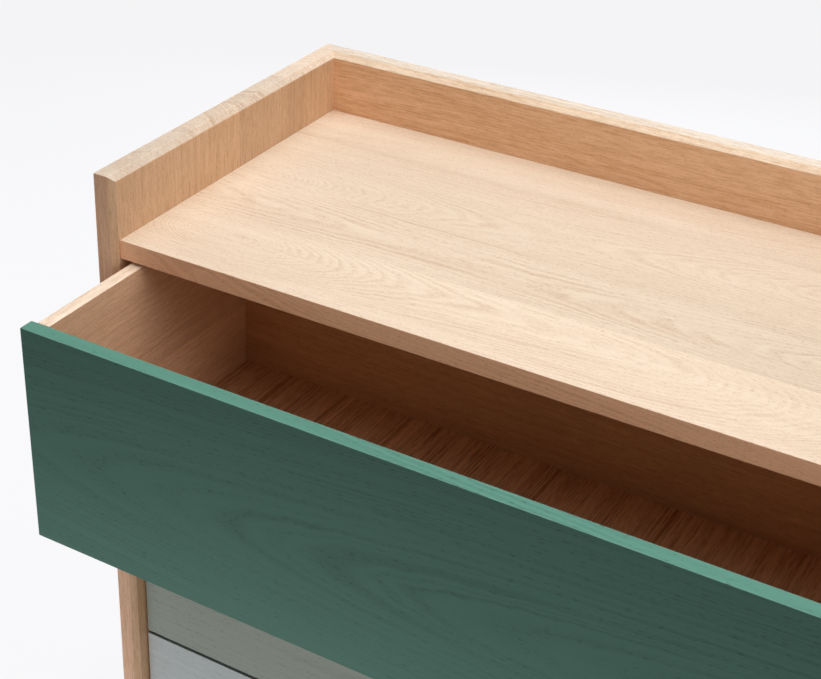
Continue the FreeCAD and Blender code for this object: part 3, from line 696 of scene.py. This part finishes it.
def addScrew(mesh, verts, crown):
    low = Vector(min(vert.co[axis] for vert in verts) for axis in range(3))
    high = Vector(max(vert.co[axis] for vert in verts) for axis in range(3))
    along = max(range(3), key=lambda axis: high[axis] - low[axis])
    middle = (low + high) / 2
    sideways = Vector(float(axis != along) for axis in range(3))
    aside = {vert: ((vert.co - middle) * sideways).length for vert in verts}
    headRadius = max(aside.values())
    shankRadius = min(radius for radius in aside.values() if radius > screwShape["onAxis"])
    head = [vert.co[along] for vert in verts if aside[vert] > headRadius * screwShape["headShare"]]
    outward = 1.0 if sum(head) / len(head) > middle[along] else -1.0
    headHeight = max(head) - min(head)
    whole = high[along] - low[along]
    top = middle.copy()
    top[along] += outward * whole / 2
    way = Vector(outward * (axis == along) for axis in range(3))
    turn = Vector((0, 0, 1)).rotation_difference(way).to_matrix()
    corner = math.atan(crossRecess["halfWidth"] / crossRecess["reach"])
    # a quarter of the cross: an arm's end, its corner, and on to the next arm's corner
    steps = (0, corner, (corner + math.pi / 4) / 2, math.pi / 4, math.radians(67.5) - corner / 2,
             math.pi / 2 - corner)
    angles = [quarter * math.pi / 2 + step for quarter in range(4) for step in steps]
    rim = min(screwShape["rim"], headHeight / 3)
    drop = crown * screwShape["shoulderDrop"]
    rows = [(crossRecess["taper"], -crossRecess["depth"], True), (1.0, 0.0, True),
            (headRadius * screwShape["flat"], 0.0, False),
            (headRadius * screwShape["shoulder"], -drop, False),
            (headRadius, -drop - rim, False), (headRadius, -headHeight, False),
            (shankRadius, -headHeight, False), (shankRadius, screwShape["tipLength"] - whole, False),
            (screwShape["tip"], -whole, False)]
    rings = []
    for radius, level, isCross in rows:
        sizes = [radius * crossRadius(angle) if isCross else radius for angle in angles]
        spots = [Vector((size * math.cos(angle), size * math.sin(angle), level))
                 for size, angle in zip(sizes, angles)]
        rings.append([mesh.verts.new(top + turn @ spot) for spot in spots])
    for upper, lower in zip(rings, rings[1:]):
        for index in range(len(angles)):
            after = (index + 1) % len(angles)
            mesh.faces.new((upper[index], lower[index], lower[after], upper[after]))
    mesh.faces.new(rings[0])
    mesh.faces.new(rings[-1][::-1])


def islands(mesh):
    done = set()
    for start in mesh.verts:
        if start in done:
            continue
        found, edge = set(), {start}
        while edge:
            found |= edge
            edge = {line.other_vert(vert) for vert in edge for line in vert.link_edges} - found
        done |= found
        yield [vert for vert in mesh.verts if vert in found]


def makeScrews(nodeName, crown):
    shape = cleanCopy(nodeName)
    mesh = bmesh.new()
    for verts in islands(shape):
        addScrew(mesh, verts, crown)
    shape.free()
    bmesh.ops.recalc_face_normals(mesh, faces=mesh.faces)
    return mesh


shortestFittingEdge = 0.0008
dressed = {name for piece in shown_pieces() for name in piece.get("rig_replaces", [])}
for nodeName in sorted(set(nodes) - dressed):
    fitting = fittings[next(words for words in fittings if words in nodeName)]
    if "crown" in fitting:
        mesh = makeScrews(nodeName, fitting["crown"])
    else:
        mesh = cleanCopy(nodeName)
        easeEdges(mesh, fitting["ease"], shortestFittingEdge)
    words = nodeName.split("_")
    piece = finishPiece(mesh, words[0] + "".join(word.title() for word in words[1:]), fitting["look"])
    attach(piece, body_of(nodes[nodeName])[0])
    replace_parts(piece, nodeName)


print("studio: floor, light and camera")
studio = {
    "floorRadius": 30.0,
    "floorSegments": 96,
    "floorColour": (0.075, 0.076, 0.078, 1),  # as the camera sees it
    "floorBounce": (0.28, 0.28, 0.28, 1),  # what it throws back on the chest
    "floorGlow": 0.903,  # seen by the camera and in reflections only
    "contactReach": 0.5,  # the glow fades this near to the chest
    "contactShade": 0.45,
    "contactSamples": 8,
    "floorRoughness": 0.9,
    "skyLight": 0.05,
    "skySeen": 0.908,
    "skyColour": (0.985, 0.985, 1, 1),
}
lamps = {
    "overhead": {"place": (0.15, -0.12, 3.3), "aim": (0.05, -0.05, 1.0), "size": (3.0, 3.0),
                 "power": 73},
    "front": {"place": (0.9, -2.8, 1.25), "aim": (0.0, 0.0, 0.95), "size": (1.2, 1.2), "power": 9.5},
    "right": {"place": (3.0, -0.6, 2.0), "aim": (-0.3, -0.2, 1.1), "size": (1.2, 1.2), "power": 21},
    "left": {"place": (-3.0, 0.5, 1.3), "aim": (-0.4, 0.0, 0.7), "size": (1.5, 1.5), "power": 16},
    "rear": {"place": (-1.2, 3.2, 1.3), "aim": (0.0, 0.2, 0.7), "size": (2.0, 1.5), "power": 34},
    "lowFill": {"place": (-0.4, -0.82, 0.02), "aim": (-0.4, -0.72, 1.0), "size": (1.6, 0.6),
                "power": 7.8},
}


def seenRays(tree):
    path = addNode(tree, "LightPath").outputs
    either = maths(tree, "MAXIMUM", path["Is Camera Ray"], path["Is Glossy Ray"])
    return maths(tree, "MAXIMUM", either, path["Is Transmission Ray"])


def makeFloor():
    mesh = bmesh.new()
    bmesh.ops.create_circle(mesh, cap_ends=True, segments=studio["floorSegments"],
                            radius=studio["floorRadius"])
    data = bpy.data.meshes.new("studioFloor")
    mesh.to_mesh(data)
    mesh.free()
    floor = bpy.data.objects.new("studioFloor", data)
    bpy.context.scene.collection.objects.link(floor)
    material, tree, shader = startMaterial("studioFloor")
    seen = seenRays(tree)
    colour = mixColour(tree, seen, studio["floorBounce"], studio["floorColour"])
    plug(tree, shader.inputs["Base Color"], colour)
    shader.inputs["Roughness"].default_value = studio["floorRoughness"]
    shader.inputs["Specular IOR Level"].default_value = 0.0
    shader.inputs["Emission Color"].default_value = studio["skyColour"]
    near = addNode(tree, "AmbientOcclusion", {"Distance": studio["contactReach"]},
                   samples=studio["contactSamples"])
    shaded = remap(tree, near.outputs["AO"], 0, 1, studio["contactShade"], 1.0, "LINEAR")
    glow = maths(tree, "MULTIPLY", maths(tree, "MULTIPLY", seen, studio["floorGlow"]), shaded)
    plug(tree, shader.inputs["Emission Strength"], glow)
    data.materials.append(material)


def makeLight():
    for name, setup in lamps.items():
        lamp = bpy.data.objects.new(name, bpy.data.lights.new(name, "AREA"))
        bpy.context.scene.collection.objects.link(lamp)
        lamp.location = setup["place"]
        away = Vector(setup["place"]) - Vector(setup["aim"])
        lamp.rotation_euler = away.to_track_quat("Z", "Y").to_euler()
        lamp.data.shape = "RECTANGLE"
        lamp.data.size, lamp.data.size_y = setup["size"]
        lamp.data.energy = setup["power"]
        lamp.visible_camera = False
    world = bpy.data.worlds.new("studio")
    bpy.context.scene.world = world
    world.use_nodes = True
    tree = world.node_tree
    strength = remap(tree, seenRays(tree), 0, 1, studio["skyLight"], studio["skySeen"], "LINEAR")
    background = tree.nodes["Background"]
    background.inputs["Color"].default_value = studio["skyColour"]
    plug(tree, background.inputs["Strength"], strength)


cameraSetup = {
    "place": (0.52993, -1.43037, 1.95151),
    "turn": (57.6477, -1.2876, 31.5437),  # degrees
    "lens": 70.543,
    "shift": (0.09905, 0.06496),
    "clip": (0.05, 60),
}


def makeCamera():
    camera = bpy.data.objects.new("camera", bpy.data.cameras.new("camera"))
    bpy.context.scene.collection.objects.link(camera)
    camera.location = cameraSetup["place"]
    camera.rotation_euler = [math.radians(angle) for angle in cameraSetup["turn"]]
    camera.data.lens = cameraSetup["lens"]
    camera.data.shift_x, camera.data.shift_y = cameraSetup["shift"]
    camera.data.clip_start, camera.data.clip_end = cameraSetup["clip"]
    bpy.context.scene.camera = camera


makeFloor()
makeLight()
makeCamera()
bpy.context.scene.view_settings.view_transform = "Standard"
